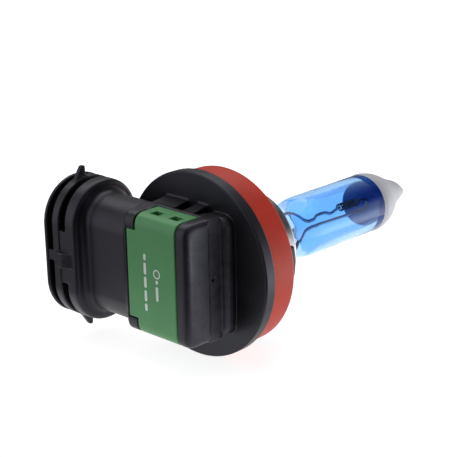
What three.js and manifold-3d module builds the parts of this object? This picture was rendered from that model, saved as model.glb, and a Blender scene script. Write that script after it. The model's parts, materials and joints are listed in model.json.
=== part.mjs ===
// Right-angle 55 W halogen headlight bulb (H11 style), in millimetres.
// +X runs along the bulb axis to the glass tip, +Y is the way the connector
// points and +Z is up. X = 0 is the plane of the bayonet lugs' rear faces,
// where the bulb seats in the lamp, and the X axis is the bulb axis.
import * as THREE from 'three';
import { mergeVertices } from 'three/addons/utils/BufferGeometryUtils.js';
import Module from 'manifold-3d';

const wasm = await Module();
wasm.setup();

// ---- driving dimensions ---------------------------------------------------
const ROUND = 56; // sides of a large circle
const GAP = 0.15; // clearance between fitted pieces

// body block behind the flange
const BLOCK = { rear: -19.9, front: -12.05, yMin: -7.8, yMax: 6.6, halfZ: 10.35, corner: 2.0, edge: 1.3 };
const COVER = {
  yMin: -5.2, yMax: 3.9, tabY: 5.9, tabZ: 7.55,
  plate: 1.4, flange: 1.2, flangeFront: -14.45,
};
const WINDOW = { x: -17.1, halfX: 0.8, halfY: 0.95, ys: [1.2, -3.05] };
const CHAMBER = { front: -11.6, yMin: -4.1, yMax: 3.0, halfZ: 6.6 };
const NECK = { halfZ: 8.6, yMin: -7.4, yMax: 6.2, ribHalfZ: 10.3, ribs: [[1.3, 6.4], [-3.1, -0.8]] };
const GROOVE = { rear: -13.4, bottom: 9.1, spans: [[-0.8, 1.3], [-4.3, -3.1]] };
const PLATE = { rear: -12.05, yMin: -9.0, yMax: -4.3, halfZ: 10.1, corner: 2.0 };

// round flange, seal seat, nose and bayonet lugs
const DISC = { rear: -10.1, front: -8.2, radius: 15.8, chamfer: 0.2, dish: 0.45, flat: 10.5 };
const SEAT = { front: -3.2, radius: 12.35 };
const NOSE = { front: 1.5, radius: 9.55 };
const LUG = { front: 1.5, inner: 9.3, outer: 11.8, halfAngle: 14.5, angles: [180, 60, -60] };
const BORE = { radius: 6.4, rear: -12.5 };
const SEAL = { rear: -8.05, front: -2.7, radius: 15.2, inner: 12.5 };

// connector: an oval tube with three rings round its mouth
const OVAL = { x: -14.8, tubeW: 4.9, tubeH: 10.35, boreW: 3.7, boreH: 8.9, coreW: 5.4, coreH: 10.8 };
const MOUTH = 23.8;
const FLOOR = 9.0;
const RINGS = [
  { y0: 16.4, y1: 19.0, w: 7.1, h: 12.4 },
  { y0: 20.25, y1: 22.0, w: 7.4, h: 12.4 },
  { y0: 23.05, y1: MOUTH, w: 7.65, h: 12.4 },
];
const BRIDGE_1 = { y0: 18.8, y1: 20.5, z0: -4.7, z1: 4.5 };
const BRIDGE_2 = { y0: 21.8, y1: 23.3, z0: -1.15, z1: 0.75 };
const LATCH = { y0: 17.3, y1: 20.65, z0: -1.8, z1: 0.9, out: 0.95 };
const KEY = { y0: 20.7, y1: 21.4, apex: 14.35, x: [-18.0, -15.2, -15.5, -15.85] };

// contacts, leads and burner
const BLADE = { x0: -16.2, x1: -13.4, z: 3.2, halfT: 0.4, y0: 0.8, y1: 20.2 };
const PINCH = { rear: -4.6, front: 9.2, halfY: 1.65, halfZ: 4.7, leadZ: 2.6, slotFront: 15.0 };
const LEAD_R = 0.3;
const FOIL = { x0: -1.4, x1: 5.2, halfZ: 0.8, halfY: 0.06 };
const FILAMENT = { x0: 26.8, x1: 32.0, coilR: 0.62, wireR: 0.13, turns: 10, z: 0.8 };
const GLASS_R = 5.5;
const COAT = { start: 34.0, gap: 0.03, thick: 0.12 };
const HOLDER = { rear: 1.65, front: 4.6, outer: 9.5, wall: 0.5, hole: 6.0 };
const CLAMP = { rear: -3.4, front: 1.2, gapY: 0.12, sheet: 0.5, halfZ: 5.4, flangeR: 8.2 };
const SLEEVE = { rear: -3.9, front: 3.8, outer: 8.85, wall: 0.45 };

// ---- materials ------------------------------------------------------------
const MAT = {
  housing: { color: 0x17171b, roughness: 0.5, metalness: 0.0 },
  cover: { color: 0x2f9a50, roughness: 0.45, metalness: 0.0 },
  seal: { color: 0xc63a26, roughness: 0.5, metalness: 0.0 },
  tin: { color: 0xb9bcbf, roughness: 0.3, metalness: 1.0 },
  steel: { color: 0xc4c5c7, roughness: 0.25, metalness: 1.0 },
  wire: { color: 0x9c9da0, roughness: 0.35, metalness: 1.0 },
  foil: { color: 0x8b8c90, roughness: 0.35, metalness: 1.0 },
  coil: { color: 0x77787d, roughness: 0.4, metalness: 1.0 },
  glass: { color: 0x2f86f0, roughness: 0.05, metalness: 0.0 },
  coating: { color: 0xb4b6ba, roughness: 0.6, metalness: 0.0 },
};

// ---- solids: three.js shapes joined and cut by manifold-3d ----------------
function signedVolume(position, index) {
  const a = new THREE.Vector3();
  const b = new THREE.Vector3();
  const c = new THREE.Vector3();
  let sum = 0;
  for (let i = 0; i < index.length; i += 3) {
    a.fromBufferAttribute(position, index[i]);
    b.fromBufferAttribute(position, index[i + 1]);
    c.fromBufferAttribute(position, index[i + 2]);
    sum += a.dot(b.cross(c)) / 6;
  }
  return sum;
}

function solid(source) {
  const bare = new THREE.BufferGeometry();
  bare.setAttribute('position', source.getAttribute('position'));
  if (source.index) {
    bare.setIndex(source.index);
  }
  const merged = mergeVertices(bare, 1e-4);
  const position = merged.getAttribute('position');
  const kept = [];
  for (let i = 0; i < merged.index.count; i += 3) {
    const t = [merged.index.getX(i), merged.index.getX(i + 1), merged.index.getX(i + 2)];
    if (t[0] !== t[1] && t[1] !== t[2] && t[2] !== t[0]) {
      kept.push(...t);
    }
  }
  if (signedVolume(position, kept) < 0) {
    for (let i = 0; i < kept.length; i += 3) {
      [kept[i + 1], kept[i + 2]] = [kept[i + 2], kept[i + 1]];
    }
  }
  return new wasm.Manifold(new wasm.Mesh({
    numProp: 3,
    vertProperties: new Float32Array(position.array),
    triVerts: new Uint32Array(kept),
  }));
}

function join(...solids) {
  return solids.reduce((total, next) => total.add(next));
}

function cut(body, ...tools) {
  return tools.reduce((rest, tool) => rest.subtract(tool), body);
}

function toGeometry(manifold) {
  const mesh = manifold.getMesh();
  const geometry = new THREE.BufferGeometry();
  geometry.setAttribute('position', new THREE.BufferAttribute(new Float32Array(mesh.vertProperties), 3));
  geometry.setIndex(new THREE.BufferAttribute(new Uint32Array(mesh.triVerts), 1));
  geometry.computeVertexNormals();
  return geometry;
}

// A shape drawn in the plane across an axis, drawn out along that axis.
// X: shape is (y, z).  Y: shape is (x, z).  Z: shape is (x, y).
function prism(shape, axis, from, to, curveSegments = 8) {
  const geometry = new THREE.ExtrudeGeometry(shape, { depth: to - from, bevelEnabled: false, curveSegments });
  if (axis === 'X') {
    const basis = new THREE.Matrix4().makeBasis(
      new THREE.Vector3(0, 1, 0), new THREE.Vector3(0, 0, 1), new THREE.Vector3(1, 0, 0));
    geometry.applyMatrix4(basis);
    geometry.translate(from, 0, 0);
  } else if (axis === 'Y') {
    geometry.rotateX(Math.PI / 2);
    geometry.translate(0, to, 0);
  } else {
    geometry.translate(0, 0, from);
  }
  return solid(geometry);
}

function box(x0, x1, y0, y1, z0, z1) {
  const geometry = new THREE.BoxGeometry(x1 - x0, y1 - y0, z1 - z0);
  geometry.translate((x0 + x1) / 2, (y0 + y1) / 2, (z0 + z1) / 2);
  return solid(geometry);
}

// Rounded rectangle; radii in the order (-a,-b), (+a,-b), (+a,+b), (-a,+b).
function roundedRect(a0, a1, b0, b1, radii) {
  const [r0, r1, r2, r3] = radii;
  const shape = new THREE.Shape();
  shape.moveTo(a0 + r0, b0);
  shape.lineTo(a1 - r1, b0);
  if (r1 > 0) shape.absarc(a1 - r1, b0 + r1, r1, -Math.PI / 2, 0, false);
  shape.lineTo(a1, b1 - r2);
  if (r2 > 0) shape.absarc(a1 - r2, b1 - r2, r2, 0, Math.PI / 2, false);
  shape.lineTo(a0 + r3, b1);
  if (r3 > 0) shape.absarc(a0 + r3, b1 - r3, r3, Math.PI / 2, Math.PI, false);
  shape.lineTo(a0, b0 + r0);
  if (r0 > 0) shape.absarc(a0 + r0, b0 + r0, r0, Math.PI, 1.5 * Math.PI, false);
  return shape;
}

// Oval in (x, z): a rounded rectangle whose corners take the whole half-width.
function oval(halfW, halfH) {
  const r = halfW * 0.97;
  return roundedRect(OVAL.x - halfW, OVAL.x + halfW, -halfH, halfH, [r, r, r, r]);
}

// Profile of [x, radius] pairs turned round the X axis.
function turned(profile, segments = ROUND) {
  const points = profile.map(([x, r]) => new THREE.Vector2(r, x));
  const geometry = new THREE.LatheGeometry(points, segments);
  geometry.rotateZ(-Math.PI / 2);
  return solid(geometry);
}

function ring(x0, x1, inner, outer, segments = ROUND) {
  return turned([[x0, inner], [x0, outer], [x1, outer], [x1, inner], [x0, inner]], segments);
}

function rod(x0, x1, radius, segments = ROUND) {
  return turned([[x0, 0], [x0, radius], [x1, radius], [x1, 0]], segments);
}

// Round wire through the given points.
function wire(points, radius, steps, sides = 8) {
  const path = new THREE.CatmullRomCurve3(points.map((p) => new THREE.Vector3(...p)), false, 'centripetal');
  const section = new THREE.Shape();
  for (let i = 0; i < sides; i += 1) {
    const angle = (2 * Math.PI * i) / sides;
    const [u, v] = [radius * Math.cos(angle), radius * Math.sin(angle)];
    if (i === 0) section.moveTo(u, v);
    else section.lineTo(u, v);
  }
  return solid(new THREE.ExtrudeGeometry(section, { steps, bevelEnabled: false, extrudePath: path }));
}

// ---- cover: a U of green plastic with two snap windows in each flange -----
function coverEnvelope(grow) {
  const outline = roundedRect(
    BLOCK.rear - 1, COVER.flangeFront + grow, -BLOCK.halfZ - 1, BLOCK.halfZ + 1, [0, 0, 0, 0]);
  const all = prism(outline, 'Y', COVER.yMin - grow, COVER.yMax + grow);
  const inner = box(
    BLOCK.rear + COVER.plate + grow, 0, -20, 20,
    -BLOCK.halfZ + COVER.flange + grow, BLOCK.halfZ - COVER.flange - grow);
  const tab = box(
    BLOCK.rear - 1, BLOCK.rear + COVER.plate + grow, 0, COVER.tabY + grow,
    -COVER.tabZ - grow, COVER.tabZ + grow);
  return join(cut(all, inner), tab);
}

function blockOutline() {
  const acrossY = prism(
    roundedRect(BLOCK.rear, BLOCK.front, -BLOCK.halfZ, BLOCK.halfZ, [BLOCK.corner, 0, 0, BLOCK.corner]),
    'Y', BLOCK.yMin - 1, BLOCK.yMax + 1);
  const acrossZ = prism(
    roundedRect(BLOCK.rear, BLOCK.front, BLOCK.yMin, BLOCK.yMax, [BLOCK.edge, 0, 0, 0.6]),
    'Z', -BLOCK.halfZ - 1, BLOCK.halfZ + 1);
  return acrossY.intersect(acrossZ);
}

function windows(grow, z0, z1) {
  return WINDOW.ys.map((y) => box(
    WINDOW.x - WINDOW.halfX - grow, WINDOW.x + WINDOW.halfX + grow,
    y - WINDOW.halfY - grow, y + WINDOW.halfY + grow, z0, z1));
}

function makeCover() {
  let cover = coverEnvelope(0).intersect(blockOutline());
  cover = cut(cover, ...windows(0, 5, 12), ...windows(0, -12, -5));
  return cover;
}

// ---- housing --------------------------------------------------------------
function makeBlock() {
  let block = cut(blockOutline(), coverEnvelope(GAP));
  const teeth = [];
  for (const side of [1, -1]) {
    const z0 = BLOCK.halfZ - COVER.flange - GAP - 0.3;
    const z1 = BLOCK.halfZ - 0.7;
    teeth.push(...windows(-0.2, Math.min(side * z0, side * z1), Math.max(side * z0, side * z1)));
  }
  block = join(block, ...teeth);
  // shallow step along the front half of the end face
  block = cut(block, box(-14.9, 0, BLOCK.yMin - 1, BLOCK.yMin + 0.25, -20, 20));
  for (const [y0, y1] of GROOVE.spans) {
    for (const [z0, z1] of [[GROOVE.bottom, 20], [-20, -GROOVE.bottom]]) {
      block = cut(block, box(GROOVE.rear, 0, y0, y1, z0, z1));
    }
  }
  return cut(block, box(
    BLOCK.rear - 1, CHAMBER.front, CHAMBER.yMin, CHAMBER.yMax, -CHAMBER.halfZ, CHAMBER.halfZ));
}

function makeNeck() {
  const core = box(-14.6, DISC.rear + 0.4, NECK.yMin, NECK.yMax, -NECK.halfZ, NECK.halfZ);
  const ribs = NECK.ribs.map(([y0, y1]) => box(
    -14.3, DISC.rear + 0.4, y0, y1, -NECK.ribHalfZ, NECK.ribHalfZ));
  const plate = prism(
    roundedRect(PLATE.yMin, PLATE.yMax, -PLATE.halfZ, PLATE.halfZ, [PLATE.corner, 0, 0, PLATE.corner]),
    'X', PLATE.rear, DISC.rear + 0.4);
  return join(core, plate, ...ribs);
}

function lugShape(angleDeg) {
  const half = THREE.MathUtils.degToRad(LUG.halfAngle);
  const mid = THREE.MathUtils.degToRad(angleDeg);
  const shape = new THREE.Shape();
  shape.moveTo(LUG.inner * Math.cos(mid - half), LUG.inner * Math.sin(mid - half));
  shape.absarc(0, 0, LUG.outer, mid - half, mid + half, false);
  shape.lineTo(LUG.inner * Math.cos(mid + half), LUG.inner * Math.sin(mid + half));
  shape.closePath();
  return shape;
}

function makeFlange() {
  const c = DISC.chamfer;
  const lip = DISC.rear - DISC.dish;
  const disc = turned([
    [DISC.rear, 0], [DISC.rear, DISC.flat], [lip, DISC.radius - c], [lip + c * 0.3, DISC.radius - c * 0.3],
    [lip + c, DISC.radius], [DISC.front, DISC.radius], [DISC.front, 0],
  ]);
  const seat = turned([
    [DISC.front - 0.5, 0], [DISC.front - 0.5, SEAT.radius], [SEAT.front - 0.4, SEAT.radius],
    [SEAT.front, SEAT.radius - 0.4], [SEAT.front, 0],
  ]);
  const nose = rod(SEAT.front - 0.5, NOSE.front, NOSE.radius);
  const lugs = LUG.angles.map((angle) => prism(lugShape(angle), 'X', 0, LUG.front, 6));
  return join(disc, seat, nose, ...lugs);
}

function makeConnector() {
  const parts = [prism(oval(OVAL.tubeW, OVAL.tubeH), 'Y', 3.5, MOUTH, 9)];
  parts.push(prism(oval(OVAL.coreW, OVAL.coreH), 'Y', RINGS[0].y0 - 0.55, MOUTH - 0.2, 9));
  for (const r of RINGS) {
    parts.push(prism(oval(r.w, r.h), 'Y', r.y0, r.y1, 9));
  }
  const side = OVAL.x - RINGS[0].w;
  parts.push(box(side - 0.1, OVAL.x - 4.5, BRIDGE_1.y0, BRIDGE_1.y1, BRIDGE_1.z0, BRIDGE_1.z1));
  parts.push(box(side - 0.3, OVAL.x - 4.5, BRIDGE_2.y0, BRIDGE_2.y1, BRIDGE_2.z0, BRIDGE_2.z1));
  const ramp = new THREE.Shape([
    new THREE.Vector2(side + 0.5, LATCH.y0), new THREE.Vector2(side + 0.5, LATCH.y1),
    new THREE.Vector2(side - LATCH.out * 0.8, LATCH.y1), new THREE.Vector2(side - LATCH.out, LATCH.y1 - 0.3),
    new THREE.Vector2(side - LATCH.out, LATCH.y0 + 1.9), new THREE.Vector2(side, LATCH.y0),
  ]);
  parts.push(prism(ramp, 'Z', LATCH.z0, LATCH.z1));
  for (const s of [1, -1]) {
    const fin = new THREE.Shape([
      new THREE.Vector2(KEY.x[0], s * 11.4), new THREE.Vector2(KEY.x[1], s * 11.4),
      new THREE.Vector2(KEY.x[2], s * KEY.apex), new THREE.Vector2(KEY.x[3], s * KEY.apex),
    ]);
    parts.push(prism(fin, 'Y', KEY.y0, KEY.y1));
  }
  return join(...parts);
}

function makeHousing() {
  const recess = prism(oval(OVAL.boreW, OVAL.boreH), 'Y', FLOOR, MOUTH + 1, 9);
  const chamber = box(
    BLOCK.rear + COVER.plate + GAP, CHAMBER.front, CHAMBER.yMin, CHAMBER.yMax,
    -CHAMBER.halfZ, CHAMBER.halfZ);
  const bore = rod(BORE.rear, NOSE.front + 1, BORE.radius, 40);
  const counterbore = rod(SLEEVE.rear - GAP, NOSE.front + 1, SLEEVE.outer + GAP, 48);
  const slots = [];
  for (const s of [1, -1]) {
    const z0 = s * BLADE.z - BLADE.halfT - GAP;
    const z1 = s * BLADE.z + BLADE.halfT + GAP;
    slots.push(box(BLADE.x0 - GAP, BLADE.x1 + GAP, 0, FLOOR + 0.5, z0, z1));
  }
  const connector = cut(makeConnector(), coverEnvelope(GAP));
  const whole = join(makeBlock(), makeNeck(), makeFlange(), connector);
  return cut(whole, recess, chamber, bore, counterbore, ...slots);
}

// ---- seal -----------------------------------------------------------------
function makeSeal() {
  const s = SEAL;
  return turned([
    [s.rear, s.inner], [s.rear, s.radius - 0.5], [s.rear + 0.15, s.radius - 0.15], [s.rear + 0.5, s.radius],
    [s.front - 0.7, s.radius], [s.front - 0.2, s.radius - 0.2], [s.front, s.radius - 0.7],
    [s.front, s.inner], [s.rear, s.inner],
  ]);
}

// ---- burner ---------------------------------------------------------------
const GLASS_PROFILE = [
  [6.0, 3.0], [7.2, 3.7], [9.0, 4.05], [10.6, 4.25], [11.8, 4.5], [13.0, 4.87], [14.4, 5.25], [16.2, GLASS_R],
  [COAT.start, GLASS_R], [35.5, 5.35],
  [37.0, 5.0], [38.5, 4.35], [40.0, 3.5], [41.3, 2.85], [42.4, 2.45], [43.8, 2.0], [45.2, 1.4],
  [46.3, 0.75], [46.9, 0.2],
];

function makeGlass() {
  const outer = turned([[6.0, 0], ...GLASS_PROFILE, [46.9, 0]], 36);
  const inner = turned([
    [13.2, 0], [13.3, 1.2], [14.0, 2.6], [15.4, 3.8], [17.2, 4.35], [33.6, 4.35], [36.4, 3.9],
    [38.6, 2.6], [39.8, 1.2], [40.2, 0],
  ], 28);
  const p = PINCH;
  const web = box(p.rear, p.front, -p.halfY * 0.75, p.halfY * 0.75, -p.halfZ, p.halfZ);
  const rails = [1, -1].map((s) => {
    const z0 = Math.min(s * (p.halfZ - 0.9), s * p.halfZ);
    return box(p.rear, p.front - 1.5, -p.halfY, p.halfY, z0, z0 + 0.9);
  });
  const slots = [1, -1].map((s) => box(
    p.rear - 1, p.slotFront, -0.8, 0.8, s * p.leadZ - 1.0, s * p.leadZ + 1.0));
  return cut(join(outer, web, ...rails), inner, ...slots);
}

function makeCoating() {
  const profile = GLASS_PROFILE.filter(([x]) => x >= COAT.start);
  const inner = profile.map(([x, r]) => [x, r + COAT.gap]);
  const outer = profile.map(([x, r]) => [x + COAT.thick * 0.4, r + COAT.gap + COAT.thick]);
  outer[0][0] = COAT.start;
  return turned([
    ...inner, [46.95, 0], [47.1, 0], ...outer.reverse(), inner[0],
  ], 36);
}

function makeInnerLeads() {
  const z = PINCH.leadZ;
  const f = FILAMENT;
  const long = wire([
    [FOIL.x1 - 0.9, 0.4 - 0.03, -z], [9, 0.2, -z], [12.8, 0, -2.5], [14.6, 0, -1.7], [16.2, 0, -1.0],
    [19, 0, -0.85], [25, 0, -1.05], [30, 0, -1.2],
    [34.2, 0, -1.1], [35.2, 0, -0.3], [34.8, 0, 0.6], [f.x1 + 0.9, 0, f.z],
  ], LEAD_R, 30);
  const short = wire([
    [FOIL.x1 - 0.9, 0.4 - 0.03, z], [9, 0.2, z], [12.8, 0, 2.5], [14.6, 0, 1.8], [16.4, 0, 0.6],
    [18.2, 0, 0.3], [20.2, 0, 0.85], [22.4, 0, 0.85], [24.2, 0, 0.35], [f.x0 - 0.9, 0, f.z - 0.1],
  ], LEAD_R, 34);
  return { long, short };
}

function makeOuterLead(s) {
  const z = s * PINCH.leadZ;
  const end = s * (BLADE.z - BLADE.halfT - LEAD_R - 0.12);
  return wire([
    [FOIL.x0 + 0.8, -0.37, z], [-4.5, -0.2, z], [-9.5, 0, s * 2.55], [-12.8, 0.1, s * 2.45],
    [-14.4, 1.0, end], [-14.8, 2.9, end],
  ], LEAD_R, 22);
}

function makeFoil(s) {
  return box(FOIL.x0, FOIL.x1, -FOIL.halfY, FOIL.halfY, s * PINCH.leadZ - FOIL.halfZ, s * PINCH.leadZ + FOIL.halfZ);
}

class Coil extends THREE.Curve {
  getPoint(t, target = new THREE.Vector3()) {
    const f = FILAMENT;
    const angle = 2 * Math.PI * f.turns * t;
    return target.set(
      f.x0 + (f.x1 - f.x0) * t, f.coilR * Math.cos(angle), f.z + f.coilR * Math.sin(angle));
  }
}

function makeFilament() {
  const f = FILAMENT;
  const section = new THREE.Shape();
  for (let i = 0; i < 5; i += 1) {
    const angle = (2 * Math.PI * i) / 5;
    const [u, v] = [f.wireR * Math.cos(angle), f.wireR * Math.sin(angle)];
    if (i === 0) section.moveTo(u, v);
    else section.lineTo(u, v);
  }
  const steps = f.turns * 11;
  return solid(new THREE.ExtrudeGeometry(section, { steps, bevelEnabled: false, extrudePath: new Coil() }));
}

// ---- metal holder pieces --------------------------------------------------
function makeHolderRing() {
  const h = HOLDER;
  return turned([
    [h.rear, h.outer - h.wall], [h.rear, h.outer], [h.front - 0.35, h.outer], [h.front, h.outer - 0.35],
    [h.front, h.hole], [h.front - h.wall, h.hole], [h.front - h.wall, h.outer - h.wall],
    [h.rear, h.outer - h.wall],
  ]);
}

function makeSleeve() {
  const s = SLEEVE;
  return turned([
    [s.rear, 6.6], [s.rear, s.outer], [s.front, s.outer], [s.front, s.outer - s.wall],
    [s.rear + s.wall, s.outer - s.wall], [s.rear + s.wall, 6.6], [s.rear, 6.6],
  ], 48);
}

function makeClamp() {
  const c = CLAMP;
  const inY = PINCH.halfY + c.gapY;
  const inZ = PINCH.halfZ + c.gapY;
  const shell = cut(
    box(c.rear, c.front, -inY - c.sheet, inY + c.sheet, -inZ - c.sheet, inZ + c.sheet),
    box(c.rear - 1, c.front + 1, -inY, inY, -inZ, inZ));
  const flange = cut(
    ring(c.front - c.sheet, c.front, 1, c.flangeR, 40),
    box(c.rear - 1, c.front + 1, -inY - 0.1, inY + 0.1, -inZ - 0.1, inZ + 0.1));
  return join(shell, flange);
}

// ---- scene graph ----------------------------------------------------------
const group = new THREE.Group();

function add(name, body, look) {
  const mesh = new THREE.Mesh(toGeometry(body), new THREE.MeshStandardMaterial(look));
  mesh.name = name;
  group.add(mesh);
}

add('base_housing', makeHousing(), MAT.housing);
add('terminal_cover', makeCover(), MAT.cover);
add('seal_ring', makeSeal(), MAT.seal);
for (const [name, s] of [['upper', 1], ['lower', -1]]) {
  const z = s * BLADE.z;
  const blade = box(BLADE.x0, BLADE.x1, BLADE.y0, BLADE.y1, z - BLADE.halfT, z + BLADE.halfT);
  add(`terminal_${name}`, blade, MAT.tin);
  add(`outer_lead_${name}`, makeOuterLead(s), MAT.wire);
  add(`foil_${name}`, makeFoil(s), MAT.foil);
}
const leads = makeInnerLeads();
add('inner_lead_long', leads.long, MAT.wire);
add('inner_lead_short', leads.short, MAT.wire);
add('filament', makeFilament(), MAT.coil);
add('glass_envelope', makeGlass(), { ...MAT.glass, transparent: true, opacity: 0.5 });
add('tip_coating', makeCoating(), MAT.coating);
add('holder_ring', makeHolderRing(), MAT.steel);
add('holder_sleeve', makeSleeve(), MAT.steel);
add('pinch_clamp', makeClamp(), MAT.steel);

export default group;
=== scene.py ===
"""Right-angle halogen headlight bulb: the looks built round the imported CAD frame.

Lengths are millimetres down to the stage, and meshes are scaled to metres when
their objects are made. +X is the bulb axis towards the glass tip, +Y the way
the connector points, +Z is up.
"""

import json
import math

import bpy
import numpy as np
from mathutils import Matrix, Vector

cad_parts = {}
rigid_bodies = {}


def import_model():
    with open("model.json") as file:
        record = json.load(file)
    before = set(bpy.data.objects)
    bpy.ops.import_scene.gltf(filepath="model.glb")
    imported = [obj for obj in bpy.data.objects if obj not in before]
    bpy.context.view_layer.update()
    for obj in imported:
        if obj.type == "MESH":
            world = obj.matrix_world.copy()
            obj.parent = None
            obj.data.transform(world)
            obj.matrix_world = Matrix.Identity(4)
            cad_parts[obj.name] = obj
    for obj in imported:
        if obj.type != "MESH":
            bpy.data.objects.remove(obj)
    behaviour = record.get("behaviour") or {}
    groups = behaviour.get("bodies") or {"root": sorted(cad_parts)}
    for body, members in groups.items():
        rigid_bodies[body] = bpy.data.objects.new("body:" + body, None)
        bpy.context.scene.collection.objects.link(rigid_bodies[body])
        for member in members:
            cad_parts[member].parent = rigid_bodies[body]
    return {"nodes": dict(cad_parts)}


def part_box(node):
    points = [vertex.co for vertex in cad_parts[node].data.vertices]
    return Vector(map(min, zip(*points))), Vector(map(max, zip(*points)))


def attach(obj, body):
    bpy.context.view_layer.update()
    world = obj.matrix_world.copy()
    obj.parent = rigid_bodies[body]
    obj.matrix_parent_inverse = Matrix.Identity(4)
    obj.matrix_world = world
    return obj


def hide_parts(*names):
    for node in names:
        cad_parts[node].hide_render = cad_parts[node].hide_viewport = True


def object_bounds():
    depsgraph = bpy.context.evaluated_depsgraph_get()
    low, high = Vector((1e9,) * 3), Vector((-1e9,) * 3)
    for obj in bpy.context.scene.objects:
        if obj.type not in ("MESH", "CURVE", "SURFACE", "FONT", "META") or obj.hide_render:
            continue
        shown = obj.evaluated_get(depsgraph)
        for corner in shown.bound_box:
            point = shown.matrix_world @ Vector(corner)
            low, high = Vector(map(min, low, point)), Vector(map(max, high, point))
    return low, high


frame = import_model()
CAD_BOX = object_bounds()

MM = 0.001


def node_box(node):
    """Lowest and highest corner of a CAD node, in millimetres."""
    low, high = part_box(node)
    return [v / MM for v in low], [v / MM for v in high]


# ---- sizes ------------------------------------------------------------------
COVER_LOW, COVER_HIGH = node_box("terminal_cover")
SEAL_LOW, SEAL_HIGH = node_box("seal_ring")
HOLDER_LOW, HOLDER_HIGH = node_box("holder_ring")
BODY_LOW, BODY_HIGH = node_box("base_housing")
COIL_LOW, COIL_HIGH = node_box("filament")

# Block and cover. A pair is a lowest and a highest value, unless a comment says otherwise.
REAR = COVER_LOW[0]
HALF_Z = COVER_HIGH[2]
GAP = 0.15
BLOCK_FRONT = -12.05
BLOCK_Y = (-7.8, 6.6)
STEP_X = -14.9
STEP_DEPTH = 0.09
EDGE_ROUND = 2.2
END_ROUND = (1.4, 0.35)  # behind the step and in front of it
COVER_Y = (COVER_LOW[1], 3.9)
COVER_TAB = (COVER_HIGH[1], 7.55)
COVER_PLATE = 1.4
COVER_FLANGE = 1.2
COVER_FRONT = COVER_HIGH[0]
WINDOW_X = -17.1
WINDOW_HALF = (0.8, 0.95)  # half widths in X and Y
WINDOW_Y = (1.2, -3.05)  # middles of the two windows
WINDOW_FLOOR = 5
TEETH_Z = (7.5, HALF_Z - 0.7)
TEETH_FRONT = -15.5
GATE = (-13.9, 0.4, 0.38, -7.0)  # moulding gate mark: X, Z, radius, bottom's Y
CHAMBER = ((-4.1, 3.0), 6.6, -11.6)  # Y values, half width in Z, front's X

# Neck between the block and the disc.
CORE = ((-14.6, -9.7), (-7.4, 6.2), (-8.6, 8.6))  # X, Y and Z values
RIBS = ((1.3, 6.4), (-3.1, -0.8))  # Y values of each rib
RIB_X = (-14.3, -9.7)
RIB_Z = 10.3
RIB_RISE = 0.55  # how much higher a rib is at the disc
GROOVES = ((-0.8, 1.3), (-4.3, -3.1))
GROOVE_REAR = -13.4
GROOVE_Z = 9.1
PLATE_X = (-12.05, -9.7)
PLATE_Y = (-9.0, -4.3)
PLATE_Z = 10.1
PLATE_CORNERS = (2.0, 0.3, 0.3, 2.0)
PLATE_DRAFT = 0.18  # sideways shift per millimetre behind the disc

# Disc, seal seat, nose and lugs.
DISC_X = (-10.1, -8.2)
DISC_FLAT = 10.5  # radius where the rear face starts to lean back
DISC_DISH = 0.2
DISC_R = BODY_HIGH[2]
SEAT_REAR = -9.0
SEAT_X = -3.2
SEAT_R = 12.35
NOSE_X = 1.5
NOSE_R = 9.55
LUG_ANGLES = (180, 60, -60)
LUG_HALF_ANGLE = math.radians(14.5)
LUG_R = (8.8, 11.8)
LUG_X = (0, 1.5)

# Connector: an oval tube along Y.
OVAL_X = -14.8
OVAL_CORNER = 0.97  # corner radius as a share of the half width
MOUTH = BODY_HIGH[1]
TUBE = (4.9, 10.35, 3.5)  # half widths in X and Z, and the Y where it starts
COLLAR = (5.4, 10.8, 17.0)  # the same for its thicker end
TUBE_END = MOUTH - 0.2
# A ring is its two Y values and its half widths in X and Z.
RINGS = ((16.4, 19.0, 7.1, 12.4), (20.25, 22.0, 7.4, 12.4), (23.05, MOUTH, 7.65, 12.4))
RING_SIDE = OVAL_X - RINGS[0][2]
# A bridge between two rings is how far it stands out, and its Y and Z values.
BRIDGES = ((0.08, (18.4, 20.9), (-4.7, 4.5)), (0.35, (21.5, 23.5), (-1.15, 0.75)))
BRIDGE_FRONT = OVAL_X - 4.0
LATCH_OUT = 0.95
LATCH_RUN = 1.9  # length of its ramp
LATCH_Y = (17.3, 20.65)
LATCH_Z = (-1.8, 0.9)
FIN_X = (-18.0, -15.2)
FIN_SLANT = (2.0, 0.15)  # how far its two sides lean in over its height
FIN_Y = (20.6, 21.5)
FIN_Z = (10.5, 14.33)
FIN_FOOT = 11.4
FIN_HEIGHT = 2.95

# Openings in the housing.
SOCKET = (3.7, 8.9, 9.0)  # half widths in X and Z, bottom's Y
LEAD_IN = (0.45, 0.9)  # width and depth
SLOT_X = (-16.35, -13.25)
SLOT_Z = (3.2, 0.55)  # middle and half width
SLOT_Y = (0, 9.5)
BORE = (6.4, -12.5)  # radius and bottom's X
COUNTERBORE = (9.0, -4.05)

GLASS_R = 5.5
COAT_START = node_box("tip_coating")[0][0]
TIP = node_box("glass_envelope")[1][0]


# ---- signed distances -------------------------------------------------------
def soft_union(a, b, k):
    """Smaller of two distances, with a fillet about 0.85 k wide where they meet."""
    h = np.maximum(k - np.abs(a - b), 0) / k
    return np.minimum(a, b) - h * h * k * 0.25


def soft_common(a, b, k):
    """Larger of two distances, with a rounded edge."""
    return -soft_union(-a, -b, k)


def carve(a, tool, k=0.2):
    """Shape a with the tool's shape taken away, and the new edge rounded."""
    return soft_common(a, -tool, k)


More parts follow.
